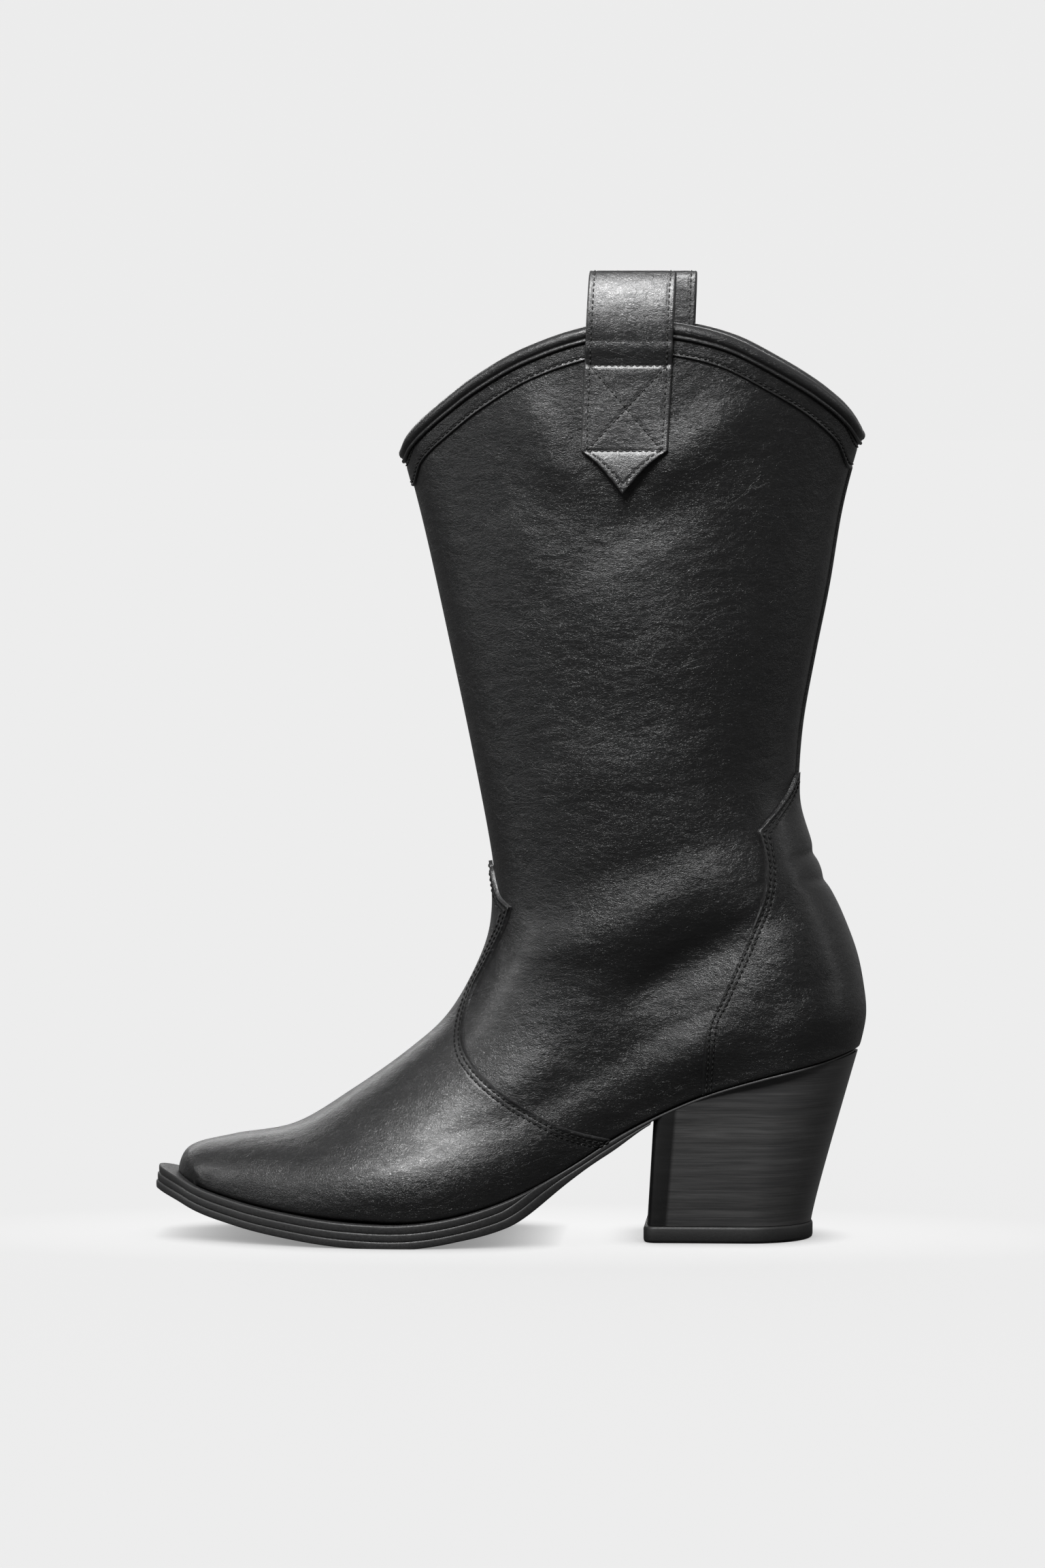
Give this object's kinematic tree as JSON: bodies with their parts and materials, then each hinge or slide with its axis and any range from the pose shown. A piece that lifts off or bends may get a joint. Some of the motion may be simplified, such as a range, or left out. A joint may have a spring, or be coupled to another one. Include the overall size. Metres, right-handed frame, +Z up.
{
  "type": "cowboy boot",
  "caption": "Mid-calf western boot in black grained leather with a pointed toe, stitched vamp and heel counter, arched topline, swinging pull loops and a stacked block heel.",
  "frame": {"origin": "on the ground under the middle of the boot's length and width", "axes": "+Z up, -X towards the toe, -Y towards the outer (lateral) side of a left foot"},
  "size_m": [0.2522, 0.0917, 0.3439],
  "materials": {
    "black_leather": "semi-gloss pebbled grain",
    "lining": "matte brushed",
    "sock": "smooth satin",
    "foam": "matte",
    "fibre_board": "matte",
    "cork": "matte",
    "steel": "satin",
    "sole_rubber": "satin",
    "heel_plastic": "matte",
    "heel_stack": "stacked-leather streaks, semi-gloss",
    "lift_rubber": "matte"
  },
  "bodies": {
    "boot": {"vamp": "black_leather", "heel_counter_cover": "black_leather", "shaft_panel_lateral": "black_leather", "shaft_panel_medial": "black_leather", "top_band_lateral": "black_leather", "top_band_medial": "black_leather", "topline_binding": "black_leather", "back_seam_tape": "black_leather", "shaft_lining_lateral": "lining", "shaft_lining_medial": "lining", "vamp_lining": "lining", "toe_puff": "fibre_board", "counter_stiffener": "fibre_board", "lateral_strap_outer_tab": "black_leather", "lateral_strap_inner_tab": "black_leather", "medial_strap_outer_tab": "black_leather", "medial_strap_inner_tab": "black_leather", "sock_liner": "sock", "heel_pad": "foam", "insole_board": "fibre_board", "tuck_board": "fibre_board", "steel_shank": "steel", "forepart_filler": "cork", "welt": "sole_rubber", "midsole": "sole_rubber", "outsole": "sole_rubber", "heel_block": "heel_plastic", "heel_wrap": "heel_stack", "top_lift": "lift_rubber", "heel_nails": "steel", "heel_screw": "steel", "top_lift_pins": "steel"},
    "lateral_loop": {"lateral_strap_loop": "black_leather"},
    "medial_loop": {"medial_strap_loop": "black_leather"}
  },
  "joints": [
    {"name": "lateral_loop_swing", "type": "hinge", "parent": "boot", "child": "lateral_loop", "pos_m": [0.0444, -0.0389, 0.3252], "axis": [1, 0, 0], "range_deg": [-35, 35], "stiffness_Nm_per_rad": 0.05},
    {"name": "medial_loop_swing", "type": "hinge", "parent": "boot", "child": "medial_loop", "pos_m": [0.0493, 0.0389, 0.3252], "axis": [1, 0, 0], "range_deg": [-35, 35], "stiffness_Nm_per_rad": 0.05}
  ]
}
